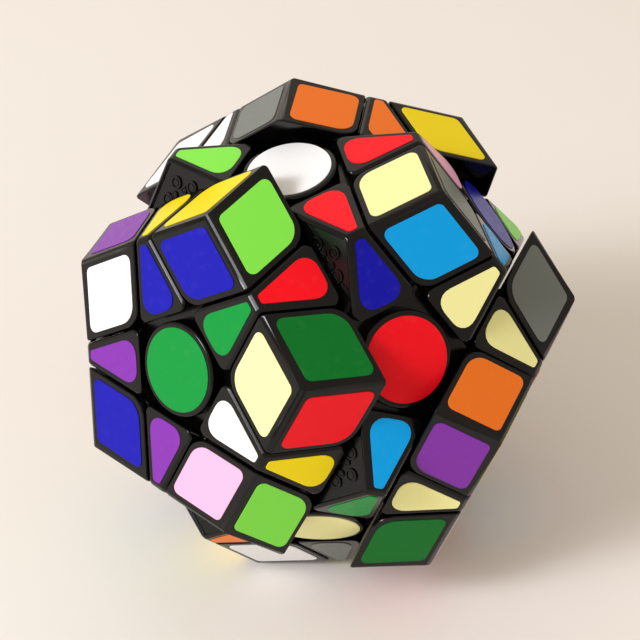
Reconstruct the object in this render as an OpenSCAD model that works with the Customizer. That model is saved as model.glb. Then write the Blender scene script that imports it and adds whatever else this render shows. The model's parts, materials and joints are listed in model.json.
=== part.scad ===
// Twelve-sided twisty puzzle, resting on a table with three of its layers part way through a turn.
//
// A twelve-sided core with twelve posts carries twelve sprung centres. Thirty edge cubies and twenty corner
// cubies hang between them by feet that run round inside the shell. Every cut between the pieces is
// a surface of revolution about a face's axis, so each layer can turn about its own centre.
//
// The solved puzzle is drawn about the origin, each turned layer is then turned about its face's
// axis, and the whole is tipped so that +Z is up and the three lowest tips lie on one level.
// -Y is the side that the cream centre faces.

/* [Overall] */
// Distance between two opposite faces
face_to_face = 70; // [66:1:100]
// Thickness of a turning layer, from its face to its cut
layer_depth = 11.9; // [9:0.1:12.6]

/* [Turned layers] */
// Angle that the green layer has turned from square, in degrees
green_turn = 32.8; // [0:0.1:72]
// Angle that the pink layer has turned from square, in degrees
pink_turn = 44.5; // [0:0.1:72]
// Angle that the yellow layer has turned from square, in degrees
yellow_turn = 33.7; // [0:0.1:72]

/* [Cubies] */
// Free gap between two cubies
cubie_gap = 0.36; // [0.3:0.02:0.6]
// Flat taken off the ridge between two faces of a cubie
ridge_flat = 0.35; // [0.1:0.05:1]
// Radius at a corner cubie's inner corner
corner_round = 4.5; // [2:0.1:6]
// Radius at an edge cubie's two inner corners
edge_round = 2.2; // [1:0.1:3]
// Depth of the sunk floor round each centre cap
moat_depth = 2.6; // [1.5:0.1:4]
// Half angle of the cone that bounds a layer's necks, in degrees
neck_angle = 42.5; // [41:0.5:44]
// Half angle of the cone that bounds a layer's feet, in degrees
foot_angle = 49; // [47:0.5:51]
// Height of the feet above the cut
foot_over_cut = 1.9; // [1:0.1:2.5]
// Thickness of the feet, out from the hollow round the core
foot_depth = 7; // [5:0.1:8]

/* [Centres] */
// Diameter of a centre cap
cap_d = 15.6; // [12:0.1:16]
// Bevel round the rim of a centre cap
cap_bevel = 0.5; // [0.2:0.1:1]
// Inside diameter of the cup under the cap
cup_d = 12.8; // [10:0.1:14]
// Height of the cup's floor above the feet
cup_over_foot = 0.8; // [0.5:0.1:2]
// Depth of the ring under the cap that plugs the cup
plug_depth = 1.8; // [1:0.1:2.5]
// Wall of the ring under the cap
plug_wall = 1.2; // [0.8:0.1:2]
// Clearance of the ring in the cup
plug_clearance = 0.05; // [0.02:0.01:0.1]
// Diameter of the pocket that the spring stands in
pocket_d = 6.8; // [6.2:0.1:7.2]
// Thickness of the pocket's floor above the hollow round the core
pocket_floor = 1.5; // [1:0.1:2.5]

/* [Screws, washers and springs] */
// Diameter of a tension screw
screw_d = 3; // [2:0.1:3.4]
// Clearance of a centre on its screw
screw_clearance = 0.08; // [0.02:0.01:0.1]
// Diameter of a screw's head
head_d = 5.6; // [4.5:0.1:6]
// Height of a screw's head
head_h = 2; // [1.2:0.1:2.4]
// Width of the cross in a screw's head
cross_w = 0.8; // [0.5:0.1:1]
// Length of the cross in a screw's head
cross_l = 3.2; // [2:0.1:4]
// Depth of the cross in a screw's head
cross_depth = 1.2; // [0.6:0.1:1.2]
// Length of screw in the core
thread_length = 8; // [5:0.5:9]
// How much smaller a washer is than its spring well, across
washer_play = 0.8; // [0.4:0.1:1.6]
// Thickness of a washer
washer_h = 0.5; // [0.3:0.1:1]
// Diameter of a spring's wire
wire_d = 0.5; // [0.3:0.05:0.7]
// How much smaller a spring is than its well, middle to middle of its wire
coil_play = 2; // [1.4:0.1:2.2]
// Length of a spring, pressed as it sits
spring_length = 6; // [4:0.5:7]
// Number of turns in a spring
spring_turns = 4; // [3:1:6]

/* [Core] */
// Distance between two opposite faces of the core's block
block_w = 20; // [16:1:24]
// Diameter of the core's posts
post_d = 7; // [6:0.1:8]
// Gap between a post and the feet that run over it
post_gap = 0.35; // [0.3:0.05:0.6]
// Clearance of a screw in its post
thread_clearance = 0.02; // [0.01:0.01:0.05]

/* [Hidden] */
$fn = 96;
PHI = (1 + sqrt(5)) / 2;
// Angles from a face's axis: to its neighbour's axis, and to one of its vertices.
FACE_ANGLE = acos(1 / sqrt(5));
VERTEX_ANGLE = acos(sqrt((5 + 2 * sqrt(5)) / 15));
// How far a rounding cylinder reaches through the walls that it joins, so that it crosses them.
ROUND_OVERLAP = 0.03;
// How deep a post is rooted in the core's block.
POST_SINK = 2;
// Turns every revolved shape so that its seam misses the points where cuts meet.
SEAM_TURN = 11;
BLACK = "#161514";
CAP_BLACK = "#1b1a19";
CORE_GREY = "#2b2b2e";
STEEL = "#b4b6b8";

face_r = face_to_face / 2;
cut_r = face_r - layer_depth;
half_gap = cubie_gap / 2;
foot_r = cut_r + foot_over_cut;
hollow_r = foot_r - foot_depth;
cubie_reach = 1.35 * face_r;
reach = 2 * face_to_face;

moat_r = face_r - moat_depth;
cup_floor_r = foot_r + cup_over_foot;
spring_seat_r = hollow_r + pocket_floor;
washer_r = spring_seat_r + spring_length;
head_r = washer_r + washer_h;
post_top_r = sqrt(pow(hollow_r - post_gap, 2) - pow(post_d / 2, 2));
post_root_r = block_w / 2 - POST_SINK;
screw_tip_r = post_top_r - thread_length;
washer_d = pocket_d - washer_play;
coil_d = pocket_d - coil_play;

// The faces by the colour of their centres. The first three are those whose layers have turned.
FACES = [
    ["green", [0, -1, PHI]],
    ["pink", [PHI, 0, -1]],
    ["yellow", [-1, PHI, 0]],
    ["white", [0, 1, PHI]],
    ["red", [PHI, 0, 1]],
    ["blue", [1, PHI, 0]],
    ["cream", [1, -PHI, 0]],
    ["purple", [-PHI, 0, 1]],
    ["lime", [0, 1, -PHI]],
    ["grey", [0, -1, -PHI]],
    ["orange", [-PHI, 0, -1]],
    ["sky", [-1, -PHI, 0]]
];
TURNS = [green_turn, pink_turn, yellow_turn];
ALL_FACES = [0:len(FACES) - 1];
PINK = 1;
CREAM = 6;
GREY = 9;
ORANGE = 10;
SKY = 11;

function unit(v) = v / norm(v);
function tilted(polar, azimuth) =
    [sin(polar) * cos(azimuth), sin(polar) * sin(azimuth), cos(polar)];
function face_name(i) = FACES[i][0];
function axis(i) = unit(FACES[i][1]);
function meet(i, j) = abs(axis(i) * axis(j) - cos(FACE_ANGLE)) < 0.001;
function neighbour(i) = [for (j = ALL_FACES) if (meet(i, j)) j][0];

CORNERS = [
    for (i = ALL_FACES)
    for (j = ALL_FACES)
    for (k = ALL_FACES)
    if (i < j && j < k && meet(i, j) && meet(j, k) && meet(i, k)) [i, j, k]
];
EDGES = [for (i = ALL_FACES) for (j = ALL_FACES) if (i < j && meet(i, j)) [i, j]];

// A cubie lies in a turned layer when its first face is one of the turned ones.
function in_turned_layer(faces) = faces[0] < len(TURNS);
function joined(names, i = 0) = i == len(names) ? "" : str("_", names[i], joined(names, i + 1));
function cubie_name(kind, faces) = str(kind, joined([for (i = faces) face_name(i)]));
function base_name(i) = str("centre_base_", face_name(i));
function cap_name(i) = str("centre_cap_", face_name(i));

TURNED_CORNERS = [for (c = CORNERS) if (in_turned_layer(c)) c];
TURNED_EDGES = [for (e = EDGES) if (in_turned_layer(e)) e];

// The point where three planes meet, each given by its normal and its distance from the origin.
function meeting_point(a, da, b, db, c, dc) =
    (da * cross(b, c) + db * cross(c, a) + dc * cross(a, b)) / (a * cross(b, c));
function turned(p, n, angle) =
    p * cos(angle) + cross(n, p) * sin(angle) + n * (n * p) * (1 - cos(angle));

// The puzzle rests on two corners of the locked pieces and on one tip of the pink layer.
rest_points = [
    turned(
        meeting_point(axis(CREAM), face_r, axis(GREY), face_r, axis(PINK), cut_r),
        axis(PINK),
        pink_turn
    ),
    meeting_point(axis(GREY), face_r, axis(ORANGE), face_r, axis(SKY), face_r),
    meeting_point(axis(CREAM), face_r, axis(GREY), face_r, axis(SKY), face_r)
];
rest_normal = unit(cross(rest_points[1] - rest_points[0], rest_points[2] - rest_points[0]));
up = rest_normal * rest_points[0] < 0 ? rest_normal : -rest_normal;
back = -unit(axis(CREAM) - up * (up * axis(CREAM)));
right = cross(back, up);

module at_rest() {
    multmatrix([concat(right, 0), concat(back, 0), concat(up, 0), [0, 0, 0, 1]]) children();
}

module with_layer(faces) {
    if (in_turned_layer(faces)) rotate(a = TURNS[faces[0]], v = axis(faces[0])) children();
    else children();
}

module along(n) {
    rotate([0, acos(n.z), atan2(n.y, n.x)]) children();
}

// Puts a piece drawn along +Z, with one of its faces towards +X, out along one axis.
module facing(outward, towards) {
    z = unit(outward);
    y = unit(cross(z, towards));
    x = cross(y, z);
    multmatrix([[x.x, y.x, z.x, 0], [x.y, y.y, z.y, 0], [x.z, y.z, z.z, 0], [0, 0, 0, 1]])
        children();
}

module beyond(n, distance) {
    along(n) translate([-reach / 2, -reach / 2, distance]) cube(reach);
}

// What turns with a face, but for its feet: all above the cut, and a cone below it for the necks.
// A clearance moves the surface in or, if it is negative, out.
module layer(n, clearance) {
    size = clearance > 0 ? cubie_reach : reach;
    tip = clearance / sin(neck_angle);
    cut = cut_r + clearance;
    neck = (cut - tip) * tan(neck_angle);
    along(n) rotate(SEAM_TURN) rotate_extrude()
        polygon([[0, tip], [neck, cut], [size, cut], [size, size], [0, size]]);
}

// The wider cone that bounds the same layer's feet, inside the ball that the feet fill.
module foot_cone(n, clearance) {
    tip = clearance / sin(foot_angle);
    along(n) rotate(SEAM_TURN) translate([0, 0, tip])
        cylinder(r1 = 0, r2 = 1.1 * foot_r * tan(foot_angle), h = 1.1 * foot_r);
}

module ball(radius) {
    rotate([SEAM_TURN, 2 * SEAM_TURN, 3 * SEAM_TURN]) sphere(r = radius);
}

// What the layers of the given faces share.
module shared_by(faces) {
    intersection_for(n = faces) layer(n, half_gap);
    intersection() {
        ball(foot_r - half_gap);
        intersection_for(n = faces) foot_cone(n, half_gap);
    }
}

// All that turns with the given faces, as room for them to turn in.
module room_for(faces) {
    for (n = faces) layer(n, -half_gap);
    intersection() {
        ball(foot_r + half_gap);
        union() for (n = faces) foot_cone(n, -half_gap);
    }
}

module outside_faces(faces) {
    for (n = faces) beyond(n, face_r);
    for (i = [0:len(faces) - 1])
        for (j = [0:len(faces) - 1])
            if (i < j) {
                ridge = unit(faces[i] + faces[j]);
                beyond(ridge, face_r / (ridge * faces[i]) - ridge_flat);
            }
}

// Rounds the upright corner where two walls of a cubie meet, down to the sunk floor. A wall is
// given by its normal into the cubie and its distance from the origin.
module wall_round(face, wall_a, distance_a, wall_b, distance_b, radius) {
    middle = unit(wall_a + wall_b);
    line = unit(cross(wall_a, wall_b));
    inset = radius - ROUND_OVERLAP;
    centre = meeting_point(wall_a, distance_a + inset, wall_b, distance_b + inset, face, face_r);
    difference() {
        intersection() {
            beyond(face, moat_r);
            beyond(-middle, radius * (middle * wall_a) - middle * centre);
        }
        translate(centre) along(line) cylinder(r = radius, h = reach, center = true);
    }
}

// A corner cubie along +Z, one of its three faces towards +X.
module corner_cubie() {
    faces = [for (third = [0:2]) tilted(VERTEX_ANGLE, 120 * third)];
    wall = cut_r + half_gap;
    difference() {
        shared_by(faces);
        outside_faces(faces);
        ball(hollow_r);
        for (i = [0:2])
            wall_round(faces[i], faces[(i + 1) % 3], wall, faces[(i + 2) % 3], wall, corner_round);
    }
}

// An edge cubie along +Z, one of its two faces towards +X.
module edge_cubie() {
    faces = [for (half = [0:1]) tilted(FACE_ANGLE / 2, 180 * half)];
    sides = [for (half = [0:1]) tilted(90 - FACE_ANGLE / 2, 90 + 180 * half)];
    wall = cut_r + half_gap;
    side_wall = cut_r - half_gap;
    difference() {
        shared_by(faces);
        outside_faces(faces);
        ball(hollow_r);
        room_for(sides);
        for (i = [0:1])
            for (side = sides)
                wall_round(faces[i], faces[1 - i], wall, -side, -side_wall, edge_round);
    }
}

module place_corner(c) {
    facing(axis(c[0]) + axis(c[1]) + axis(c[2]), axis(c[0])) corner_cubie();
}

module place_edge(e) {
    facing(axis(e[0]) + axis(e[1]), axis(e[0])) edge_cubie();
}

module corner(c) {
    color(BLACK) at_rest() with_layer(c) place_corner(c);
}

module edge(e) {
    color(BLACK) at_rest() with_layer(e) place_edge(e);
}

module locked_corners() {
    color(BLACK) at_rest() for (c = CORNERS) if (!in_turned_layer(c)) place_corner(c);
}

module locked_edges() {
    color(BLACK) at_rest() for (e = EDGES) if (!in_turned_layer(e)) place_edge(e);
}

// Radius, at a height along its axis, that a centre may fill beside its neighbours' cones.
function room_r(height, cone_angle) =
    height * tan(FACE_ANGLE - cone_angle) - half_gap / cos(FACE_ANGLE - cone_angle);

// Half of a centre's section: a stalk between the feet, and a cup above them.
module centre_section() {
    stalk_top = foot_r + cup_over_foot / 2;
    difference() {
        union() {
            difference() {
                polygon([
                    [0, 0],
                    [room_r(hollow_r / 2, foot_angle), hollow_r / 2],
                    [room_r(stalk_top, foot_angle), stalk_top],
                    [0, stalk_top]
                ]);
                circle(r = hollow_r);
            }
            difference() {
                polygon([
                    [0, hollow_r],
                    [room_r(hollow_r, neck_angle), hollow_r],
                    [room_r(moat_r, neck_angle), moat_r],
                    [0, moat_r]
                ]);
                circle(r = foot_r + half_gap);
            }
        }
        translate([-1, 0]) square([1 + screw_d / 2 + screw_clearance, reach]);
        translate([0, spring_seat_r]) square([pocket_d / 2, reach]);
        translate([0, cup_floor_r]) square([cup_d / 2, reach]);
    }
}

// A centre's foot and cup. The screw holds it down through the spring in its pocket.
module centre_foot_and_cup() {
    difference() {
        rotate_extrude() centre_section();
        for (fifth = [0:4]) beyond(tilted(FACE_ANGLE, 72 * fifth), cut_r - half_gap);
    }
}

module centre_base(i) {
    color(BLACK) at_rest() with_layer([i])
        facing(axis(i), axis(neighbour(i))) centre_foot_and_cup();
}

module centre_cap(i) {
    plug_r = cup_d / 2 - plug_clearance;
    color(CAP_BLACK) at_rest() with_layer([i]) along(axis(i)) rotate_extrude() {
        translate([plug_r - plug_wall, moat_r - plug_depth]) square([plug_wall, plug_depth]);
        polygon([
            [0, moat_r],
            [cap_d / 2, moat_r],
            [cap_d / 2, face_r - cap_bevel],
            [cap_d / 2 - cap_bevel, face_r],
            [0, face_r]
        ]);
    }
}

module core() {
    color(CORE_GREY) at_rest() difference() {
        union() {
            difference() {
                cube(2 * block_w, center = true);
                for (i = ALL_FACES) beyond(axis(i), block_w / 2);
            }
            for (i = ALL_FACES)
                along(axis(i)) translate([0, 0, post_root_r])
                    cylinder(d = post_d, h = post_top_r - post_root_r);
        }
        for (i = ALL_FACES)
            along(axis(i))
                translate([0, 0, screw_tip_r])
                    cylinder(d = screw_d + 2 * thread_clearance, h = reach);
    }
}

module tension_screw() {
    difference() {
        union() {
            translate([0, 0, screw_tip_r])
                cylinder(d = screw_d, h = head_r + head_h / 2 - screw_tip_r);
            translate([0, 0, head_r]) cylinder(d = head_d, h = head_h);
        }
        translate([0, 0, head_r + head_h - cross_depth / 2 + 0.05])
            for (quarter = [0, 90])
                rotate(quarter) cube([cross_l, cross_w, cross_depth + 0.1], center = true);
    }
}

module tension_screws() {
    color(STEEL) at_rest() for (i = ALL_FACES) along(axis(i)) tension_screw();
}

module spring_washers() {
    color(STEEL) at_rest() for (i = ALL_FACES) along(axis(i)) translate([0, 0, washer_r])
        difference() {
            cylinder(d = washer_d, h = washer_h);
            translate([0, 0, -1]) cylinder(d = screw_d + 2 * screw_clearance, h = washer_h + 2);
        }
}

// The wire's height: flat over the first and last part of a turn, and rising evenly between.
SPRING_RINGS = 8 * spring_turns;
WIRE_SIDES = 5;
FLAT_TURN = 0.6;
function risen(turn) = min(1, max(0, (turn - FLAT_TURN) / (spring_turns - 2 * FLAT_TURN)));
function wire_point(ring, side) =
    let (
        turn = spring_turns * ring / SPRING_RINGS,
        middle = wire_d / 2 + (spring_length - wire_d) * risen(turn),
        round = 360 * side / WIRE_SIDES,
        radius = coil_d / 2 + wire_d / 2 * cos(round)
    )
    [radius * cos(360 * turn), radius * sin(360 * turn), middle + wire_d / 2 * sin(round)];

module spring() {
    points = [for (r = [0:SPRING_RINGS]) for (s = [0:WIRE_SIDES - 1]) wire_point(r, s)];
    walls = [
        for (r = [0:SPRING_RINGS - 1])
        for (s = [0:WIRE_SIDES - 1])
        let (next = (s + 1) % WIRE_SIDES, here = r * WIRE_SIDES, ahead = here + WIRE_SIDES)
        each [
            [here + s, here + next, ahead + next],
            [here + s, ahead + next, ahead + s]
        ]
    ];
    start = [for (s = [WIRE_SIDES - 1:-1:0]) s];
    finish = [for (s = [0:WIRE_SIDES - 1]) SPRING_RINGS * WIRE_SIDES + s];
    polyhedron(points, concat(walls, [start, finish]));
}

module springs() {
    color(STEEL) at_rest() for (i = ALL_FACES)
        along(axis(i)) translate([0, 0, spring_seat_r]) spring();
}

core();
tension_screws();
spring_washers();
springs();
locked_corners();
locked_edges();
for (i = ALL_FACES) centre_base(i);
for (i = ALL_FACES) centre_cap(i);
for (c = TURNED_CORNERS) corner(c);
for (e = TURNED_EDGES) edge(e);
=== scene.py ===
"""The looks of a twelve-sided twisty puzzle, built around its CAD frame.

Every cubie is modelled once, in millimetres and in its own frame, and then copied to its slots.
A cubie's own Z axis points straight out of the puzzle.
"""

import json
import logging
import math
from abc import ABC, abstractmethod
from collections.abc import Callable
from dataclasses import dataclass
from enum import Enum
from itertools import combinations
from typing import ClassVar

import bpy
from mathutils import Matrix, Quaternion, Vector


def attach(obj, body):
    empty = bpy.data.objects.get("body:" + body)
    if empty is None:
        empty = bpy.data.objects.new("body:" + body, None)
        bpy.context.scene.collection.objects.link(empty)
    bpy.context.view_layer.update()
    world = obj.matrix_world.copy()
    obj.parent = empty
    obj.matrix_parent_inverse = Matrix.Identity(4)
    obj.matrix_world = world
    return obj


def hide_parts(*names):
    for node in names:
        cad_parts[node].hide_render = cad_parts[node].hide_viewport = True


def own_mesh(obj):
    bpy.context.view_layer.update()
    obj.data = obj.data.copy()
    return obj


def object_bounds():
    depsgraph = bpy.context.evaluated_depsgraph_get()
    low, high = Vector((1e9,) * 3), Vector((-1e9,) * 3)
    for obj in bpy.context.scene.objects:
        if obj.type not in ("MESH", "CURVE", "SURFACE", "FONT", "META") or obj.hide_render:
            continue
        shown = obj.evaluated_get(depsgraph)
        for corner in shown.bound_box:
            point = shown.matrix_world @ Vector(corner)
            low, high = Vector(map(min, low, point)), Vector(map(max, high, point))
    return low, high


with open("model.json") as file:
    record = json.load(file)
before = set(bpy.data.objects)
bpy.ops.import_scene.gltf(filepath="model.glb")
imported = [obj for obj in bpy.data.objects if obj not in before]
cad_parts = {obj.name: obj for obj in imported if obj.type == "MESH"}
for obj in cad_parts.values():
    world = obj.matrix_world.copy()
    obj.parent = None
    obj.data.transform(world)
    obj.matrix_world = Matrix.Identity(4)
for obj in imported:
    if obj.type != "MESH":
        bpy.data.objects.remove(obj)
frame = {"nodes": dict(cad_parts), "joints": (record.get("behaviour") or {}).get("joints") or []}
CAD_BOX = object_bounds()

log = logging.getLogger("puzzle")

MM = 0.001
UP = Vector((0, 0, 1))

# Angles of a regular dodecahedron.
BETWEEN_FACES = math.acos(1 / math.sqrt(5))
FACE_TO_CORNER = math.radians(37.377)
PENTAGON_CORNER = math.radians(108)

# Unit vectors with a dot product above the first are one direction, and below the second square.
FLAT_MATCH = 0.999
SQUARE_MATCH = 0.1
# A face that is nearer to a plane than this, in millimetres, lies in it.
LEVEL_MATCH = 0.01
# The normals of a cubie's outer faces and ridges rise more than this, and its walls' don't.
LEANS_OUT = 0.3

# Flats across a shell's upright roundings, its ridges and its rims.
UPRIGHT_SEGMENTS = 8
RIDGE_SEGMENTS = 5
RIM_SEGMENTS = 3

# Sockets of the shader node that mixes two colours.
MIX_SHARE, MIX_FIRST, MIX_SECOND, MIX_RESULT = 0, 6, 7, 2

EdgeTest = Callable[[Vector, Vector], bool]
Material = bpy.types.Material
Socket = bpy.types.NodeSocket


class Face(Enum):
    """The twelve faces of the core, each named for its colour on a solved puzzle."""

    GREEN = "green"
    PINK = "pink"
    YELLOW = "yellow"
    WHITE = "white"
    RED = "red"
    BLUE = "blue"
    CREAM = "cream"
    PURPLE = "purple"
    LIME = "lime"
    GREY = "grey"
    ORANGE = "orange"
    SKY = "sky"


FACE_ORDER = list(Face)

# How far each layer that is caught in mid-turn has been turned, in degrees.
LAYER_TURNS = {Face.GREEN: 32.8, Face.PINK: 44.5, Face.YELLOW: 33.7}

VINYL_COLOURS = {
    Face.GREEN: "#008F38",
    Face.PINK: "#F0B2D6",
    Face.YELLOW: "#F2DA00",
    Face.WHITE: "#F2F4F6",
    Face.RED: "#EE0A1C",
    Face.BLUE: "#0E0CA6",
    Face.CREAM: "#F4F2A8",
    Face.PURPLE: "#7F2FA6",
    Face.LIME: "#7FE04A",
    Face.GREY: "#707673",
    Face.ORANGE: "#F57A20",
    Face.SKY: "#00A0EA",
}

# The corners' green labels come from a darker roll than the others.
CORNER_GREEN = "#006B22"

# The scramble: which colours each corner shows, on the faces that its slot names.
CORNER_COLOURS = {
    "green red white": "blue lime yellow",
    "green white purple": "white purple green",
    "green cream red": "cream red green",
    "green sky cream": "pink grey lime",
    "green purple sky": "blue yellow white",
    "pink blue red": "yellow orange purple",
    "pink red cream": "white green red",
    "pink lime blue": "pink cream grey",
    "pink cream grey": "sky orange grey",
    "pink grey lime": "blue red pink",
    "yellow white blue": "orange yellow lime",
    "yellow purple white": "lime grey orange",
    "yellow blue lime": "green sky cream",
    "yellow orange purple": "red blue white",
    "yellow lime orange": "purple orange sky",
    "white red blue": "cream sky grey",
    "cream sky grey": "white yellow purple",
    "purple orange sky": "pink red cream",
    "lime grey orange": "sky green purple",
    "grey sky orange": "blue pink lime",
}

EDGE_COLOURS = {
    "green white": "blue yellow",
    "green red": "green red",
    "green cream": "white yellow",
    "green purple": "purple white",
    "green sky": "purple green",
    "pink red": "pink cream",
    "pink blue": "red cream",
    "pink cream": "yellow purple",
    "pink lime": "grey pink",
    "pink grey": "grey sky",
    "yellow white": "purple orange",
    "yellow blue": "purple sky",
    "yellow purple": "blue white",
    "yellow lime": "cream grey",
    "yellow orange": "sky orange",
    "white red": "red blue",
    "white blue": "red pink",
    "white purple": "lime yellow",
    "red blue": "cream sky",
    "red cream": "sky green",
    "blue lime": "lime pink",
    "cream grey": "grey lime",
    "cream sky": "orange lime",
    "purple orange": "grey orange",
    "purple sky": "cream green",
    "lime grey": "red white",
    "lime orange": "blue pink",
    "grey orange": "green white",
    "grey sky": "lime blue",
    "orange sky": "orange yellow",
}


# ---- places


def face_axes() -> dict[Face, Vector]:
    """Read the twelve face axes from the joints of the centres.

    Returns:
        The outward unit axis of each face, in the CAD frame.
    """
    axes = {joint["name"]: Vector(joint["axis"]).normalized() for joint in frame["joints"]}
    return {face: axes[f"{face.value}_centre_lift"] for face in Face}


AXES = face_axes()


def tilted(polar: float, azimuth: float) -> Vector:
    """Turn the Z direction away from itself.

    Args:
        polar: Angle from Z, in radians.
        azimuth: Angle about Z from X, in degrees.

    Returns:
        The unit direction.
    """
    around = math.radians(azimuth)
    return Vector((
        math.sin(polar) * math.cos(around),
        math.sin(polar) * math.sin(around),
        math.cos(polar),
    ))


def facing(outward: Vector, towards: Vector) -> Matrix:
    """Make the turn that stands a piece in its slot.

    Args:
        outward: Where the piece's Z axis points.
        towards: The direction that the piece's X axis leans to.

    Returns:
        The rotation, as a 4x4 matrix.
    """
    z = outward.normalized()
    y = z.cross(towards).normalized()
    return Matrix((y.cross(z), y, z)).transposed().to_4x4()


def trace(face: Vector, height: float, other: Vector, distance: float) -> tuple[Vector, float]:
    """Find the line that one plane draws on another.

    Args:
        face: Unit normal of the plane that is drawn on.
        height: That plane's distance from the centre of the puzzle.
        other: Unit normal of the plane that draws the line.
        distance: That plane's distance from the centre.

    Returns:
        The line's unit normal within the plane, and its distance from the plane's middle.
    """
    lean = face.dot(other)
    inside = (other - face * lean).normalized()
    return inside, (distance - height * lean) / math.sqrt(1 - lean * lean)


@dataclass(frozen=True)
class Slot:
    """One place for a cubie on the core, and the colours that the cubie shows there."""

    colours: dict[Face, Face]

    @classmethod
    def read(cls, faces: str, colours: str) -> "Slot":
        """Read one line of the scramble.

        Args:
            faces: The faces that the slot touches.
            colours: The colours shown there, in the same order.

        Returns:
            The slot.
        """
        pairs = zip(map(Face, faces.split()), map(Face, colours.split()))
        return cls(dict(pairs))

    @property
    def faces(self) -> list[Face]:
        """The slot's faces, in the order that the CAD names them."""
        return sorted(self.colours, key=FACE_ORDER.index)

    @property
    def name(self) -> str:
        """The slot's faces as one name."""
        return "_".join(face.value for face in self.faces)

    @property
    def layer(self) -> Face | None:
        """The turned layer that holds the slot, if one does."""
        return self.faces[0] if self.faces[0] in LAYER_TURNS else None

    @property
    def body(self) -> str:
        """The CAD body that a cubie in this slot rides on."""
        return f"{self.layer.value}_layer" if self.layer else "core_and_locked_pieces"

    def stand(self) -> Matrix:
        """Stand a cubie in the slot of a puzzle that is all in line.

        Returns:
            The rotation from the cubie's own frame.
        """
        outward = sum((AXES[face] for face in self.faces), Vector())
        return facing(outward, AXES[self.faces[0]])

    def place(self) -> Matrix:
        """Take a cubie from its own frame in millimetres to its place, its layer turned.

        Returns:
            The matrix from the cubie's own frame to the CAD frame.
        """
        return layer_turn(self.layer) @ self.stand() @ Matrix.Scale(MM, 4)

    def face_at(self, direction: Vector) -> Face:
        """Name the slot's face that one of the cubie's own directions points to.

        Args:
            direction: Unit direction in the cubie's own frame.

        Returns:
            The face.
        """
        outward = self.stand() @ direction
        return max(self.faces, key=lambda face: AXES[face].dot(outward))


def centre_place(face: Face) -> Matrix:
    """Take a round piece of a centre from its own frame in millimetres to its face.

    Args:
        face: The face.

    Returns:
        The matrix from the piece's own frame to the CAD frame.
    """
    towards = AXES[FACE_ORDER[(FACE_ORDER.index(face) + 1) % len(FACE_ORDER)]]
    return facing(AXES[face], towards) @ Matrix.Scale(MM, 4)


def layer_turn(layer: Face | None) -> Matrix:
    """Turn a layer as it stands at rest.

    Args:
        layer: The layer's face, or None for a piece in no turned layer.

    Returns:
        The rotation about that face's axis.
    """
    if layer is None:
        return Matrix.Identity(4)
    return Matrix.Rotation(math.radians(LAYER_TURNS[layer]), 4, AXES[layer])


# ---- modelling


def activate(obj: bpy.types.Object) -> None:
    """Make one object the only selected one, and the active one.

    Args:
        obj: The object.
    """
    bpy.ops.object.select_all(action="DESELECT")
    obj.select_set(True)
    bpy.context.view_layer.objects.active = obj


def rim_of(normal: Vector) -> EdgeTest:
    """Make the test for the edges where a flat face meets its upright sides.

    Args:
        normal: Normal of the flat face.

    Returns:
        The test.
    """
    return lambda a, b: a.dot(normal) > FLAT_MATCH and abs(b.dot(normal)) < SQUARE_MATCH


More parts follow.
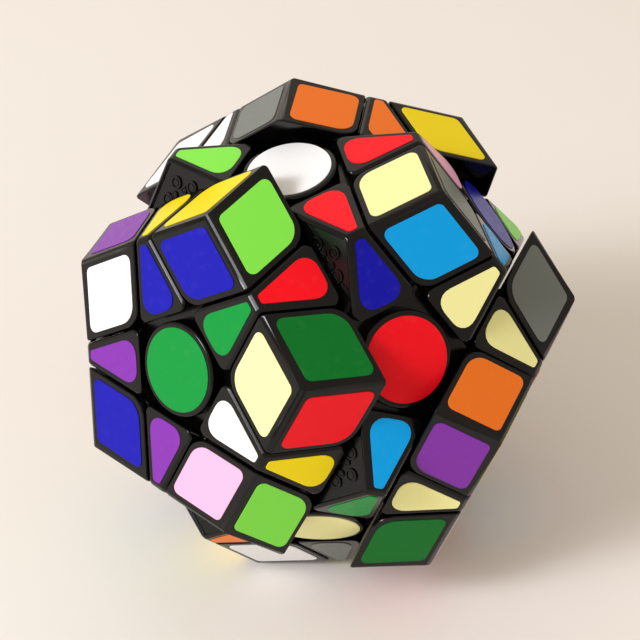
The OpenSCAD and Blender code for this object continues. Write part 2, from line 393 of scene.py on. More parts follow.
class Blank:
    """A workpiece in millimetres, in its piece's own frame."""

    def __init__(self, name: str, obj: bpy.types.Object) -> None:
        """Take up an object as it stands, with its place moved into its mesh.

        Args:
            name: Name of the workpiece.
            obj: The object.
        """
        self.obj = obj
        obj.name = obj.data.name = name
        activate(obj)
        bpy.ops.object.transform_apply(location=True, rotation=True, scale=True)

    @classmethod
    def block(cls, name: str, height: float, size: float = 60) -> "Blank":
        """Start from a cube.

        Args:
            name: Name of the workpiece.
            height: Height of its middle on the Z axis.
            size: Length of its sides.

        Returns:
            The workpiece.
        """
        bpy.ops.mesh.primitive_cube_add(size=size, location=(0, 0, height))
        return cls(name, bpy.context.object)

    @classmethod
    def turned(cls, name: str, radius: float, low: float, high: float, sides: int = 96) -> "Blank":
        """Start from a disc of bar stock that stands on the Z axis.

        Args:
            name: Name of the workpiece.
            radius: Its radius.
            low: Height of its lower face.
            high: Height of its upper face.
            sides: Number of sides of its outline.

        Returns:
            The workpiece.
        """
        bpy.ops.mesh.primitive_cylinder_add(
            vertices=sides, radius=radius, depth=high - low, location=(0, 0, (low + high) / 2)
        )
        return cls(name, bpy.context.object)

    @classmethod
    def from_node(cls, name: str, node: str, stand: Matrix) -> "Blank":
        """Start from a copy of a CAD node, taken back to its piece's own frame.

        Args:
            name: Name of the workpiece.
            node: The CAD node.
            stand: The matrix that takes the piece from its own frame to its place.

        Returns:
            The workpiece, its loose triangles merged.
        """
        mesh = frame["nodes"][node].data.copy()
        mesh.materials.clear()
        mesh.transform(stand.inverted())
        obj = bpy.data.objects.new(name, mesh)
        bpy.context.scene.collection.objects.link(obj)
        blank = cls(name, obj)
        blank.edit(lambda: bpy.ops.mesh.remove_doubles(threshold=0.001))
        return blank

    def edit(self, *steps: Callable[[], object]) -> None:
        """Run edit-mode steps on the whole workpiece.

        Args:
            *steps: The steps, each called once.
        """
        activate(self.obj)
        bpy.ops.object.mode_set(mode="EDIT")
        bpy.ops.mesh.select_all(action="SELECT")
        for step in steps:
            step()
        bpy.ops.object.mode_set(mode="OBJECT")

    def trim(self, normal: Vector, distance: float) -> None:
        """Cut away what lies beyond a plane, and close the cut.

        Args:
            normal: Unit normal of the plane, towards the part that goes.
            distance: The plane's distance from the origin.
        """
        self.edit(lambda: bpy.ops.mesh.bisect(
            plane_co=normal * distance, plane_no=normal, use_fill=True, clear_outer=True
        ))

    def bevel(self, wanted: EdgeTest, width: float, segments: int) -> None:
        """Round the edges whose two faces pass a test.

        Args:
            wanted: Test of the two faces' normals.
            width: Distance from each edge to where its rounding starts.
            segments: Number of flats across the rounding.
        """
        mesh = self.obj.data
        normals: dict[tuple[int, int], list[Vector]] = {}
        for polygon in mesh.polygons:
            polygon.select = False
            for key in polygon.edge_keys:
                normals.setdefault(key, []).append(polygon.normal.copy())
        for vertex in mesh.vertices:
            vertex.select = False
        for edge in mesh.edges:
            pair = normals[edge.key]
            edge.select = len(pair) == 2 and (wanted(*pair) or wanted(*reversed(pair)))
        activate(self.obj)
        bpy.context.tool_settings.mesh_select_mode = (False, True, False)
        bpy.ops.object.mode_set(mode="EDIT")
        bpy.ops.mesh.bevel(
            offset_type="OFFSET", offset=width, segments=segments, profile=0.5, affect="EDGES"
        )
        bpy.ops.object.mode_set(mode="OBJECT")

    def round_between(self, first: Vector, second: Vector, radius: float, segments: int) -> None:
        """Round the edge between two flat faces.

        Args:
            first: Normal of one face.
            second: Normal of the other.
            radius: Radius of the rounding.
            segments: Number of flats across it.
        """
        width = radius * math.tan(first.angle(second) / 2)
        self.bevel(
            lambda a, b: a.dot(first) > FLAT_MATCH and b.dot(second) > FLAT_MATCH, width, segments
        )

    def select_flat(self, normal: Vector, height: float) -> None:
        """Select the faces of one plane, and nothing else.

        Args:
            normal: Normal of the plane.
            height: Its distance from the origin.
        """
        mesh = self.obj.data
        for item in (*mesh.vertices, *mesh.edges):
            item.select = False
        for polygon in mesh.polygons:
            level = abs(polygon.center.dot(normal) - height) < LEVEL_MATCH
            polygon.select = level and polygon.normal.dot(normal) > FLAT_MATCH
        activate(self.obj)
        bpy.context.tool_settings.mesh_select_mode = (False, False, True)

    def step_in(self, normal: Vector, height: float, border: float, rise: float) -> None:
        """Inset a flat face and raise or sink what is inside it.

        Args:
            normal: Normal of the face.
            height: Its distance from the origin.
            border: Width of the rim that stays.
            rise: How far the inside moves along the normal.
        """
        self.select_flat(normal, height)
        bpy.ops.object.mode_set(mode="EDIT")
        bpy.ops.mesh.inset(thickness=border, depth=0)
        bpy.ops.mesh.extrude_region_move(
            TRANSFORM_OT_translate={"value": tuple(normal * rise)}
        )
        bpy.ops.object.mode_set(mode="OBJECT")

    def combine(self, other: "Blank", operation: str) -> None:
        """Join another workpiece to this one, or cut it out, and use it up.

        Args:
            other: The other workpiece.
            operation: UNION or DIFFERENCE.
        """
        activate(self.obj)
        bpy.ops.object.modifier_add(type="BOOLEAN")
        modifier = self.obj.modifiers[-1]
        modifier.operation = operation
        modifier.solver = "EXACT"
        modifier.object = other.obj
        bpy.ops.object.modifier_apply(modifier=modifier.name)
        other.discard()

    def shade(self, angle: float = 35) -> None:
        """Shade the roundings smooth and keep the flats flat.

        Args:
            angle: Edges sharper than this stay sharp, in degrees.
        """
        activate(self.obj)
        bpy.ops.object.shade_smooth_by_angle(angle=math.radians(angle))
        bpy.ops.object.modifier_add(type="WEIGHTED_NORMAL")
        modifier = self.obj.modifiers[-1]
        modifier.weight = 100
        modifier.keep_sharp = True
        bpy.ops.object.modifier_apply(modifier=modifier.name)

    def copy_to(
        self, name: str, place: Matrix, material: Material | None = None
    ) -> bpy.types.Object:
        """Copy the workpiece to its place.

        Args:
            name: Name of the finished piece.
            place: Matrix from the piece's own frame to the one it goes in.
            material: Its finish, or None for a piece that is joined to another.

        Returns:
            The finished piece, at the origin, with its place in its own mesh.
        """
        mesh = self.obj.data.copy()
        mesh.name = name
        mesh.transform(place)
        mesh.materials.clear()
        if material:
            mesh.materials.append(material)
        piece = bpy.data.objects.new(name, mesh)
        bpy.context.scene.collection.objects.link(piece)
        return piece

    def discard(self) -> None:
        """Throw the workpiece away."""
        bpy.data.objects.remove(self.obj)


# ---- finishes


def linear(code: str) -> tuple[float, float, float, float]:
    """Turn an sRGB hex colour into the linear one that shaders use.

    Args:
        code: The colour, as #RRGGBB.

    Returns:
        Linear red, green and blue, and an alpha of 1.
    """
    channels = [int(code[i:i + 2], 16) / 255 for i in (1, 3, 5)]
    red, green, blue = (
        c / 12.92 if c <= 0.04045 else ((c + 0.055) / 1.055) ** 2.4 for c in channels
    )
    return red, green, blue, 1.0


class Nodes:
    """A material that is made of shader nodes."""

    def __init__(self, name: str) -> None:
        """Start the material.

        Args:
            name: Name of the real material.
        """
        self.material = bpy.data.materials.new(name)
        self.material.use_nodes = True
        self.tree = self.material.node_tree
        self.tree.nodes.clear()
        self.where = self.add("TexCoord").outputs["Object"]

    def add(
        self, kind: str, inputs: dict[str | int, object] | None = None, **settings: object
    ) -> bpy.types.Node:
        """Add a shader node with its settings, values and links.

        Args:
            kind: The node's type, without the ShaderNode in front.
            inputs: Values or output sockets for the node's inputs, by name or number.
            **settings: The node's own properties.

        Returns:
            The new node.
        """
        node = self.tree.nodes.new(f"ShaderNode{kind}")
        for name, value in settings.items():
            setattr(node, name, value)
        for name, value in (inputs or {}).items():
            if isinstance(value, Socket):
                self.tree.links.new(value, node.inputs[name])
            else:
                node.inputs[name].default_value = value
        return node

    def noise(self, size_mm: float, detail: float) -> Socket:
        """Add a soft random pattern.

        Args:
            size_mm: Width of one blotch, in millimetres.
            detail: How many finer patterns lie on it.

        Returns:
            The pattern, from 0 to 1.
        """
        inputs = {"Vector": self.where, "Scale": 1 / (size_mm * MM), "Detail": detail}
        return self.add("TexNoise", inputs).outputs["Fac"]

    def spread(
        self, pattern: Socket, low: float, high: float, start: float = 0.3, end: float = 0.7
    ) -> Socket:
        """Stretch part of a pattern's range over two values.

        Args:
            pattern: The pattern, from 0 to 1.
            low: Value where the pattern is weak.
            high: Value where it is strong.
            start: Where in the pattern's range the change starts.
            end: Where it ends.

        Returns:
            The stretched value.
        """
        inputs = {
            "Value": pattern, "From Min": start, "From Max": end, "To Min": low, "To Max": high
        }
        return self.add("MapRange", inputs).outputs["Result"]

    def mix(self, share: Socket, first: tuple[float, ...], second: tuple[float, ...]) -> Socket:
        """Mix two colours.

        Args:
            share: How much of the second colour there is, from 0 to 1.
            first: The first colour.
            second: The second colour.

        Returns:
            The mixed colour.
        """
        inputs = {MIX_SHARE: share, MIX_FIRST: first, MIX_SECOND: second}
        return self.add("Mix", inputs, data_type="RGBA").outputs[MIX_RESULT]

    def relief(self, height: Socket, depth_mm: float, strength: float) -> Socket:
        """Raise and sink the surface by a pattern.

        Args:
            height: The pattern.
            depth_mm: Height of the relief, in millimetres.
            strength: How strongly it shows.

        Returns:
            The bent normal.
        """
        inputs = {"Strength": strength, "Distance": depth_mm * MM, "Height": height}
        return self.add("Bump", inputs).outputs["Normal"]

    def finish(self, inputs: dict[str, object]) -> Material:
        """Close the material with its surface.

        Args:
            inputs: Values or output sockets for the surface shader's inputs.

        Returns:
            The material.
        """
        shader = self.add("BsdfPrincipled", inputs)
        self.add("OutputMaterial", {"Surface": shader.outputs["BSDF"]})
        return self.material


@dataclass(frozen=True)
class MouldedPlastic:
    """ABS moulded against a polished or a finely etched tool.

    It gives sharp highlights on the roundings, a faint ripple in the flats, and small dull
    patches where fingers have rubbed it.
    """

    name: str
    colour: str
    worn_colour: str
    roughness: float
    ripple_mm: float
    relief_mm: float

    def make(self) -> Material:
        """Make the material.

        Returns:
            The material.
        """
        nodes = Nodes(self.name)
        rubbed = nodes.noise(size_mm=6, detail=3)
        grain = nodes.noise(size_mm=0.35, detail=3)
        worn = nodes.spread(rubbed, 0.0, 0.8)
        dull = nodes.add("Math", {
            0: nodes.spread(rubbed, 0.7 * self.roughness, 1.5 * self.roughness),
            1: nodes.spread(grain, -0.03, 0.03),
        }, operation="ADD")
        ripple = nodes.noise(self.ripple_mm, detail=2)
        return nodes.finish({
            "Base Color": nodes.mix(worn, linear(self.colour), linear(self.worn_colour)),
            "Roughness": dull.outputs[0],
            "IOR": 1.54,
            "Specular IOR Level": 0.24,
            "Normal": nodes.relief(ripple, self.relief_mm, strength=0.5),
        })


@dataclass(frozen=True)
class VinylFilm:
    """Die-cut self-adhesive vinyl, printed through and lightly calendered.

    It gives an even, strong colour with a soft satin shine, a slow waviness from the glue under
    it, and a few scuffs that are a little paler.
    """

    name: str
    colour: str
    roughness: float = 0.36
    scuff_whiteness: float = 0.25

    def make(self) -> Material:
        """Make the material.

        Returns:
            The material.
        """
        nodes = Nodes(self.name)
        scuffs = nodes.noise(size_mm=1.3, detail=6)
        scuffed = nodes.spread(scuffs, 0.0, 0.04, start=0.56, end=0.78)
        colour, white = linear(self.colour), self.scuff_whiteness
        pale = tuple((1 - white) * c + white for c in colour)
        glue = nodes.noise(size_mm=3.5, detail=1)
        film = nodes.noise(size_mm=0.25, detail=2)
        height = nodes.add("Math", {0: film, 1: 0.15, 2: glue}, operation="MULTIPLY_ADD")
        return nodes.finish({
            "Base Color": nodes.mix(scuffed, colour, pale),
            "Roughness": nodes.spread(scuffs, self.roughness - 0.04, self.roughness + 0.06),
            "IOR": 1.5,
            "Specular IOR Level": 0.16,
            "Normal": nodes.relief(height.outputs[0], 0.03, strength=0.45),
        })


@dataclass(frozen=True)
class TurnedSteel:
    """Zinc-plated carbon steel, cold-headed and rolled, with a cool grey shine."""

    name: str
    colour: str = "#B9BBBD"
    dull_colour: str = "#8F9295"
    roughness: float = 0.28

    def make(self) -> Material:
        """Make the material.

        Returns:
            The material.
        """
        nodes = Nodes(self.name)
        patches = nodes.noise(size_mm=1.5, detail=4)
        dull = nodes.spread(patches, 0.0, 0.6)
        grain = nodes.noise(size_mm=0.12, detail=3)
        return nodes.finish({
            "Base Color": nodes.mix(dull, linear(self.colour), linear(self.dull_colour)),
            "Metallic": 1.0,
            "Roughness": nodes.spread(patches, self.roughness - 0.06, self.roughness + 0.1),
            "Normal": nodes.relief(grain, 0.01, strength=0.3),
        })


class Finishes:
    """Every finish of the puzzle, made once."""

    def __init__(self) -> None:
        """Make the materials."""
        self.shell = MouldedPlastic(
            "polished_black_abs", "#030303", "#080706", roughness=0.17, ripple_mm=2.2,
            relief_mm=0.02,
        ).make()
        self.core = MouldedPlastic(
            "etched_grey_abs", "#3A3B3D", "#4B4C4E", roughness=0.45, ripple_mm=0.5,
            relief_mm=0.04,
        ).make()
        self.steel = TurnedSteel("zinc_plated_steel").make()
        self.vinyl = {
            face: VinylFilm(f"{face.value}_vinyl_film", code).make()
            for face, code in VINYL_COLOURS.items()
        }
        corner_green = VinylFilm("dark_green_vinyl_film", CORNER_GREEN).make()
        self.corner_vinyl = self.vinyl | {Face.GREEN: corner_green}


# ---- the puzzle


@dataclass(frozen=True)
class Cuts:
    """The planes that part the puzzle, as distances from its centre in millimetres."""

    face: float = 35.0
    outer_wall: float = 23.28
    inner_wall: float = 22.92
    moat: float = 32.4
    moat_step: float = 0.02


CUTS = Cuts()


@dataclass(frozen=True)
class Label:
    """A thin vinyl label on one face of a cubie."""

    proud: float = 0.12
    sunk: float = 0.1
    rim: float = 0.05
    rim_segments: int = 2
    segments: int = 6

    def cut(
        self, name: str, face: Vector, sides: list[tuple[Vector, float]], radii: list[float]
    ) -> Blank:
        """Cut a label to its outline.

        Args:
            name: Name of the label.
            face: Normal of the face that it lies on.
            sides: Its straight sides in order, each as its normal and its distance.
            radii: Radius of the corner between each side and the next.

        Returns:
            The label.
        """
        label = Blank.block(name, CUTS.face)
        label.trim(face, CUTS.face + self.proud)
        label.trim(-face, self.sunk - CUTS.face)
        for normal, distance in sides:
            label.trim(normal, distance)
        normals = [normal for normal, _ in sides]
        for first, second, radius in zip(normals, normals[1:] + normals[:1], radii):
            label.round_between(first, second, radius, self.segments)
        label.bevel(rim_of(face), self.rim, self.rim_segments)
        label.shade()
        return label


@dataclass
class Cubies(ABC):
    """Cubies of one kind, each a black shell with a label on every outer face.

    The pattern is the slot whose CAD node lends its neck and foot. The inner round is that of
    the upright edge at a face's inner corner. Sizes are in millimetres.
    """

    finishes: Finishes
    inner_round: float
    ridge_round: float
    rim_width: float
    neck_top: float
    kind: ClassVar[str]
    pattern: ClassVar[str]
    scramble: ClassVar[dict[str, str]]

    @property
    @abstractmethod
    def outer(self) -> list[Vector]:
        """Normals of the outer faces, in the cubie's own frame."""

    @property
    def sides(self) -> list[Vector]:
        """Normals of the side walls."""
        return []

    @property
    def vinyl(self) -> dict[Face, Material]:
        """The labels' finishes."""
        return self.finishes.vinyl

    @abstractmethod
    def model(self) -> Blank:
        """Model one cubie."""

    @abstractmethod
    def label(self) -> Blank:
        """Cut the label for its first face."""

    def is_outer(self, normal: Vector) -> bool:
        """Tell whether a normal belongs to an outer face or a ridge.

        Args:
            normal: The normal.

        Returns:
            Whether it does.
        """
        return normal.z > LEANS_OUT

    def shell(self) -> Blank:
        """Shape the shell, which has sharp corners below the moat and round ones above.

        Returns:
            The shell.
        """
        shell = Blank.block(self.kind, CUTS.face)
        base = Blank.block(f"{self.kind}_base", CUTS.face)
        for normal in self.outer:
            shell.trim(normal, CUTS.face)
            shell.trim(-normal, -CUTS.outer_wall)
            base.trim(normal, CUTS.moat)
            base.trim(-normal, -CUTS.outer_wall - CUTS.moat_step)
        for normal in self.sides:
            shell.trim(normal, CUTS.inner_wall)
            base.trim(normal, CUTS.inner_wall - CUTS.moat_step)
        walls = [-normal for normal in self.outer]
        upright = math.tan(BETWEEN_FACES / 2)

        def is_upright(a: Vector, b: Vector) -> bool:
            """Tell whether an edge stands between two walls and leads to an inner corner."""
            on_walls = [any(n.dot(wall) > FLAT_MATCH for wall in walls) for n in (a, b)]
            on_sides = [any(n.dot(side) > FLAT_MATCH for side in self.sides) for n in (a, b)]
            return (on_walls[0] and on_sides[1]) if self.sides else all(on_walls)

        def is_rim(a: Vector, b: Vector) -> bool:
            """Tell whether an edge runs round the outside."""
            return self.is_outer(a) and not self.is_outer(b)

        shell.bevel(is_upright, self.inner_round * upright, UPRIGHT_SEGMENTS)
        for first, second in combinations(self.outer, 2):
            shell.round_between(first, second, self.ridge_round, RIDGE_SEGMENTS)
        shell.bevel(is_rim, self.rim_width, RIM_SEGMENTS)
        shell.combine(base, "UNION")
        return shell

    def add_foot(self, shell: Blank) -> None:
        """Give a shell the neck and foot of its CAD node.

        Args:
            shell: The shell.
        """
        slot = Slot.read(self.pattern, self.pattern)
        foot = Blank.from_node(f"{self.kind}_foot", f"{self.kind}_{slot.name}", slot.place())
        foot.trim(UP, self.neck_top)
        shell.combine(foot, "UNION")

    def fill(self, slot: Slot, cubie: Blank, label: Blank) -> None:
        """Copy a cubie and its labels to one slot.

        Args:
            slot: The slot.
            cubie: The cubie.
            label: The label for its first face.
        """
        kind, place = self.kind, slot.place()
        piece = cubie.copy_to(f"{kind}_cubie_{slot.name}", place, self.finishes.shell)
        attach(piece, slot.body)
        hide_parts(f"{kind}_{slot.name}" if slot.layer else f"locked_{kind}s")
        for i, normal in enumerate(self.outer):
            face = slot.face_at(normal)
            colour = slot.colours[face]
            turn = Matrix.Rotation(2 * math.pi * i / len(self.outer), 4, "Z")
            sticker = label.copy_to(
                f"label_{slot.name}_on_{face.value}", place @ turn, self.vinyl[colour]
            )
            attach(sticker, slot.body)
        log.info("%s %s", kind, slot.name)

    def build(self) -> None:
        """Put every cubie of this kind and its labels in place."""
        cubie, label = self.model(), self.label()
        for faces, colours in self.scramble.items():
            self.fill(Slot.read(faces, colours), cubie, label)
        cubie.discard()
        label.discard()


@dataclass
class CornerCubies(Cubies):
    """The twenty corners, each with three labels."""

    kind: ClassVar[str] = "corner"
    pattern: ClassVar[str] = "green white red"
    scramble: ClassVar[dict[str, str]] = CORNER_COLOURS
    inner_round: float = 4.5
    ridge_round: float = 1.3
    rim_width: float = 0.5
    neck_top: float = 31.0
    label_from_ridge: float = 1.45
    label_from_wall: float = 1.1
    label_inner_round: float = 3.6
    label_round: float = 1.2

    @property
    def outer(self) -> list[Vector]:
        """Normals of the three outer faces, in the corner's own frame."""
        return [tilted(FACE_TO_CORNER, azimuth) for azimuth in (0, 120, 240)]

    @property
    def vinyl(self) -> dict[Face, Material]:
        """The labels' finishes, with the darker green."""
        return self.finishes.corner_vinyl

    def model(self) -> Blank:
        """Model one corner.

        Returns:
            The corner, with its foot.
        """
        shell = self.shell()
        self.add_foot(shell)
        shell.shade()
        return shell

    def label(self) -> Blank:
        """Cut the label for the corner's first face.

        Returns:
            The label.
        """
        face, left, right = self.outer
        sides = []
        for other in (left, right):
            inside, ridge = trace(face, CUTS.face, other, CUTS.face)
            _, wall = trace(face, CUTS.face, other, CUTS.outer_wall)
            sides.append((inside, ridge - self.label_from_ridge))
            sides.append((-inside, -wall - self.label_from_wall))
        ridge_left, wall_left, ridge_right, wall_right = sides
        return Label().cut(
            "corner_label", face, [ridge_left, ridge_right, wall_left, wall_right],
            [self.label_round, self.label_round, self.label_inner_round, self.label_round],
        )


@dataclass
class EdgeCubies(Cubies):
    """The thirty edges, each with two labels and a studded panel in each side wall."""

    kind: ClassVar[str] = "edge"
    pattern: ClassVar[str] = "green white"
    scramble: ClassVar[dict[str, str]] = EDGE_COLOURS
    inner_round: float = 2.8
    ridge_round: float = 1.3
    rim_width: float = 0.45
    neck_top: float = 28.6
    label_from_ridge: float = 1.05
    label_from_side: float = 1.05
    label_from_wall: float = 0.95
    label_tip_round: float = 0.55
    label_inner_round: float = 2.4
    neck_angle: float = 42.5
    neck_gap: float = 0.18
    neck_sides: int = 192
    panel_border: float = 0.6
    panel_depth: float = 0.33
    panel_round: float = 0.8
    panel_segments: int = 4
    stud_radius: float = 1.15
    small_stud_radius: float = 0.62
    stud_height: float = 0.3
    stud_sunk: float = 0.1
    stud_bevel: float = 0.06
    stud_sides: int = 24
    stud_from_tip: float = 4.3
    dish_depth: float = 0.22
    pip_rise: float = 0.16
    # Widths of a stud's ring and of the gap inside it, as shares of its radius.
    ring_share: float = 0.24
    gap_share: float = 0.2

    @property
    def outer(self) -> list[Vector]:
        """Normals of the two outer faces, in the edge's own frame."""
        return [tilted(BETWEEN_FACES / 2, azimuth) for azimuth in (0, 180)]

    @property
    def sides(self) -> list[Vector]:
        """Normals of the two side walls."""
        return [tilted(math.pi / 2 - BETWEEN_FACES / 2, azimuth) for azimuth in (90, 270)]

    def is_outer(self, normal: Vector) -> bool:
        """Tell whether a normal belongs to an outer face or a ridge.

        Args:
            normal: The normal.

        Returns:
            Whether it does, which no side wall's does.
        """
        return super().is_outer(normal) and abs(normal.y) < LEANS_OUT

    def neck_room(self, side: Vector) -> Blank:
        """Make the cone that clears the necks of the layer beyond a side wall.

        Args:
            side: Normal of the side wall.

        Returns:
            The cutter, a cone about the layer's axis.
        """
        slope = math.radians(self.neck_angle)
        bpy.ops.mesh.primitive_cone_add(
            vertices=self.neck_sides,
            radius1=CUTS.face * math.tan(slope),
            radius2=0,
            depth=CUTS.face,
            location=side * (CUTS.face / 2 - self.neck_gap / math.sin(slope)),
            rotation=(-side).to_track_quat("Z", "Y").to_euler(),
        )
        return Blank("neck_room", bpy.context.object)

    def panel(self, side: Vector) -> Blank:
        """Make the cutter that sinks the panel in a side wall.

        Args:
            side: Normal of the side wall.

        Returns:
            The cutter.
        """
        cutter = Blank.block("panel", CUTS.face)
        cutter.trim(side, CUTS.inner_wall + self.panel_depth)
        cutter.trim(-side, self.panel_depth - CUTS.inner_wall)
        outline = []
        for normal in self.outer:
            inside, ridge = trace(side, CUTS.inner_wall, normal, CUTS.face)
            _, wall = trace(side, CUTS.inner_wall, normal, CUTS.outer_wall)
            outline += [(inside, ridge - self.panel_border), (-inside, -wall - self.panel_border)]
        for normal, distance in outline:
            cutter.trim(normal, distance)
        upper_left, lower_left, upper_right, lower_right = [normal for normal, _ in outline]
        ring = [upper_left, upper_right, lower_left, lower_right]
        for first, second in zip(ring, ring[1:] + ring[:1]):
            cutter.round_between(first, second, self.panel_round, self.panel_segments)
        return cutter

    def stud(self, radius: float) -> Blank:
        """Model one ring stud, standing on the origin.

        Args:
            radius: Outer radius of its ring.

        Returns:
            The stud, a ring round a lower disc.
        """
        stud = Blank.turned(
            "stud", radius, -self.stud_sunk, self.stud_height, sides=self.stud_sides
        )
        dish = self.stud_height - self.dish_depth
        stud.bevel(rim_of(UP), self.stud_bevel, 1)
        stud.step_in(UP, self.stud_height, self.ring_share * radius, -self.dish_depth)
        stud.step_in(UP, dish, self.gap_share * radius, self.pip_rise)
        return stud

    def stud_places(self) -> list[tuple[float, float, float]]:
        """List the studs of one panel.

        Returns:
            Each stud's radius, its place back from the foremost stud, and its place aside.
        """
        large, small = self.stud_radius, self.small_stud_radius
        middle = [(large, 0.0, 0.0), (small, 3.4, 0.0)]
        pairs = [(large, 1.9, 3.1), (small, 1.75, 1.2), (small, 3.5, 2.1)]
        return middle + [(r, back, sign * aside) for r, back, aside in pairs for sign in (-1, 1)]

    def add_studs(self, shell: Blank, side: Vector) -> None:
        """Stand the cluster of studs in a side wall, near the tip that its ridge leads to.

        Args:
            shell: The edge.
            side: Normal of the side wall that they stand in.
        """
        studs = {r: self.stud(r) for r in (self.stud_radius, self.small_stud_radius)}
        up = (UP - side * side.z).normalized()
        across = side.cross(up)
        floor = side * (CUTS.inner_wall - self.panel_depth)
        turn = facing(side, up)
        _, outline = trace(side, CUTS.inner_wall, self.outer[0], CUTS.face)
        foremost = outline / math.sin(PENTAGON_CORNER / 2) - self.stud_from_tip
        copies = []
        for radius, back, aside in self.stud_places():
            at = floor + up * (foremost - back) + across * aside
            copies.append(studs[radius].copy_to("stud", Matrix.Translation(at) @ turn))
        for stud in studs.values():
            stud.discard()
        activate(shell.obj)
        for copy in copies:
            copy.select_set(True)
        bpy.ops.object.join()

    def model(self) -> Blank:
        """Model one edge.

        Returns:
            The edge, with its foot, panels and studs.
        """
        shell = self.shell()
        # The cones are joined before the cut, because cutting with one after the other fails.
        necks, far_necks = [self.neck_room(side) for side in self.sides]
        necks.combine(far_necks, "UNION")
        shell.combine(necks, "DIFFERENCE")
        self.add_foot(shell)
        for side in self.sides:
            shell.combine(self.panel(side), "DIFFERENCE")
        for side in self.sides:
            self.add_studs(shell, side)
        shell.shade()
        return shell

    def label(self) -> Blank:
        """Cut the label for the edge's first face.

        Returns:
            The label.
        """
        face, other = self.outer
        inside, ridge = trace(face, CUTS.face, other, CUTS.face)
        _, wall = trace(face, CUTS.face, other, CUTS.outer_wall)
        flanks = []
        for side in self.sides:
            normal, distance = trace(face, CUTS.face, side, CUTS.inner_wall)
            flanks.append((normal, distance - self.label_from_side))
        tip = (inside, ridge - self.label_from_ridge)
        root = (-inside, -wall - self.label_from_wall)
        return Label().cut(
            "edge_label", face, [flanks[0], tip, flanks[1], root],
            [self.label_tip_round, self.label_tip_round,
             self.label_inner_round, self.label_inner_round],
        )


@dataclass
class Centres:
    """The twelve centres, each a base with a clipped-in cap and a round label.

    Sizes are in millimetres.
    """

    finishes: Finishes
    cap_radius: float = 7.8
    cap_round: float = 0.5
    cap_segments: int = 4
    plug_radius: float = 6.35
    plug_wall: float = 1.2
    plug_depth: float = 1.8
    label_radius: float = 6.9

    def cap(self) -> Blank:
        """Model the cap, which stands on the Z axis.

        Returns:
            The cap, with the ring that clips into the base.
        """
        cap = Blank.turned("cap", self.cap_radius, CUTS.moat, CUTS.face)
        cap.bevel(rim_of(UP), self.cap_round, self.cap_segments)
        cap.step_in(-UP, -CUTS.moat, self.cap_radius - self.plug_radius, self.plug_depth)
        cap.step_in(-UP, self.plug_depth - CUTS.moat, self.plug_wall, -self.plug_depth)
        cap.shade()
        return cap

    def label(self) -> Blank:
        """Cut the cap's round label.

        Returns:
            The label.
        """
        thin = Label()
        label = Blank.turned(
            "cap_label", self.label_radius, CUTS.face - thin.sunk, CUTS.face + thin.proud
        )
        label.bevel(rim_of(UP), thin.rim, thin.rim_segments)
        label.shade()
        return label

    def build(self) -> None:
        """Put every cap and its label in place, and dress the bases."""
        cap, label = self.cap(), self.label()
        for face in FACE_ORDER:
            name, body = face.value, f"{face.value}_centre"
            place = centre_place(face)
            piece = cap.copy_to(f"cap_{name}", place, self.finishes.shell)
            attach(piece, body)
            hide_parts(f"centre_cap_{name}")
            sticker = label.copy_to(f"label_{name}_centre", place, self.finishes.vinyl[face])
            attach(sticker, body)
            dress_node(f"centre_base_{name}", self.finishes.shell)
            log.info("centre %s", name)
        cap.discard()
        label.discard()


def dress_node(node: str, material: Material) -> None:
    """Give a CAD node that stays in sight a finer finish.

    Args:
        node: The CAD node.
        material: Its finish.
    """
    for slot in frame["nodes"][node].material_slots:
        slot.material = material
    log.info("node %s", node)


@dataclass
class Mechanism:
    """The core and the hardware on it.

    Heights are in millimetres from the centre of the puzzle, and sharp_from is in degrees.
    """

    finishes: Finishes
    below_spring: float = 18.5
    washer_height: float = 25.5
    spring_length: float = 6.0
    spring_travel: float = 0.5
    sharp_from: float = 60

    def springs(self) -> None:
        """Give each centre its own spring."""
        spring = Blank.from_node("spring", "springs", centre_place(FACE_ORDER[0]))
        spring.trim(-UP, -self.below_spring)
        spring.shade(self.sharp_from)
        for face in FACE_ORDER:
            piece = spring.copy_to(
                f"spring_{face.value}", centre_place(face), self.finishes.steel
            )
            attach(piece, "core_and_locked_pieces")
            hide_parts("springs")
            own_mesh(piece)
        spring.discard()

    def build(self) -> None:
        """Dress the nodes that stay as the CAD made them, and set the springs."""
        dress_node("core", self.finishes.core)
        for node in ("tension_screws", "spring_washers"):
            dress_node(node, self.finishes.steel)
        self.springs()


# ---- studio


@dataclass(frozen=True)
class SoftLight:
    """A square soft light that faces the puzzle. Sizes are in metres and power in watts."""

    name: str
    at: tuple[float, float, float]
    size: float
    power: float
    colour: str

    def hang(self) -> None:
        """Hang the light."""
        data = bpy.data.lights.new(self.name, "AREA")
        data.size = self.size
        data.energy = self.power
        data.color = linear(self.colour)[:3]
        light = bpy.data.objects.new(self.name, data)
        bpy.context.scene.collection.objects.link(light)
        light.location = self.at
        light.rotation_mode = "QUATERNION"
        light.rotation_quaternion = (-Vector(self.at)).to_track_quat("-Z", "Y")


LIGHTS = (
    SoftLight("window", at=(-0.78, -0.52, 0.68), size=0.45, power=6.6, colour="#F8F9FF"),
    SoftLight("window_pane", at=(-0.77, -0.51, 0.67), size=0.22, power=4.2, colour="#F8F9FF"),
    SoftLight("back_wall", at=(-0.2, 1.1, 0.5), size=0.9, power=1.5, colour="#FFFBF6"),
)


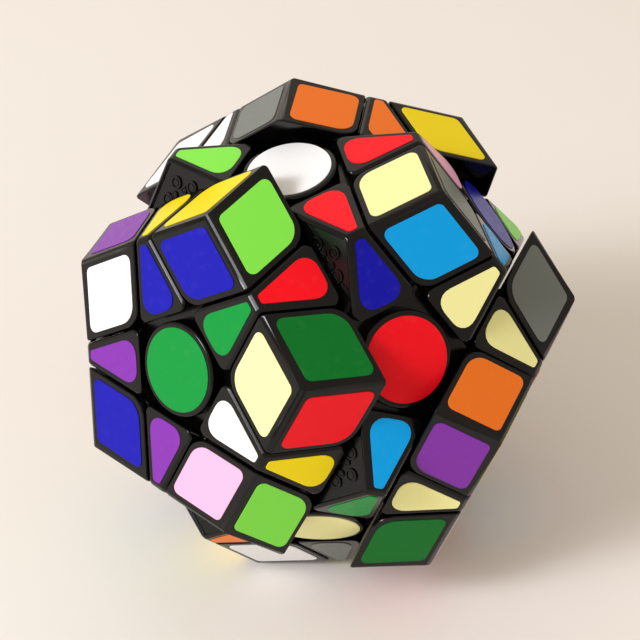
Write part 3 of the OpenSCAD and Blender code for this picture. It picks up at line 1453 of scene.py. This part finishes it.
@dataclass
class Studio:
    """A pale table by a window, and the camera.

    Angles are in degrees, the camera's distances in millimetres, and the table's size in metres.
    """

    azimuth: float = -0.219
    elevation: float = 38.793
    roll: float = 1.683
    distance: float = 326.44
    aside: float = -0.577
    above: float = 1.883
    field_of_view: float = 19.186
    table_size: float = 4.0
    table_colour: str = "#EDEAE6"
    table_shade: str = "#E9E5DF"
    sky_colour: str = "#FFF1DF"
    sky_strength: float = 0.66

    def camera(self) -> None:
        """Stand the camera."""
        azimuth, elevation = math.radians(self.azimuth), math.radians(self.elevation)
        back = Vector((
            math.sin(azimuth) * math.cos(elevation),
            -math.cos(azimuth) * math.cos(elevation),
            math.sin(elevation),
        ))
        turn = (-back).to_track_quat("-Z", "Y")
        turn = turn @ Quaternion((0, 0, 1), math.radians(self.roll))
        data = bpy.data.cameras.new("camera")
        data.angle = math.radians(self.field_of_view)
        data.clip_start, data.clip_end = 0.01, 10
        camera = bpy.data.objects.new("camera", data)
        bpy.context.scene.collection.objects.link(camera)
        camera.rotation_mode = "QUATERNION"
        camera.rotation_quaternion = turn
        camera.location = turn @ Vector((self.aside, self.above, self.distance)) * MM
        bpy.context.scene.camera = camera

    def table(self, height: float) -> None:
        """Lay the table top.

        Args:
            height: Height of its upper surface, in metres.
        """
        bpy.ops.mesh.primitive_plane_add(size=self.table_size, location=(0, 0, height))
        table = bpy.context.object
        table.name = "table"
        nodes = Nodes("matte_painted_board")
        patches = nodes.noise(size_mm=90, detail=2)
        tint = nodes.mix(patches, linear(self.table_colour), linear(self.table_shade))
        table.data.materials.append(nodes.finish({"Base Color": tint, "Roughness": 0.75}))

    def sky(self) -> None:
        """Fill the room with an even light."""
        world = bpy.data.worlds.new("room")
        world.use_nodes = True
        background = world.node_tree.nodes["Background"]
        background.inputs["Color"].default_value = linear(self.sky_colour)
        background.inputs["Strength"].default_value = self.sky_strength
        bpy.context.scene.world = world

    def build(self, floor: float) -> None:
        """Set up the whole studio.

        Args:
            floor: Height of the table, in metres.
        """
        self.camera()
        self.table(floor)
        for light in LIGHTS:
            light.hang()
        self.sky()
        bpy.context.scene.view_settings.view_transform = "Standard"


def main() -> None:
    """Build the looks in order."""
    logging.basicConfig(level=logging.INFO, format="%(name)s: %(message)s")
    finishes = Finishes()
    CornerCubies(finishes).build()
    EdgeCubies(finishes).build()
    Centres(finishes).build()
    Mechanism(finishes).build()
    Studio().build(CAD_BOX[0].z)


if __name__ == "__main__":
    main()
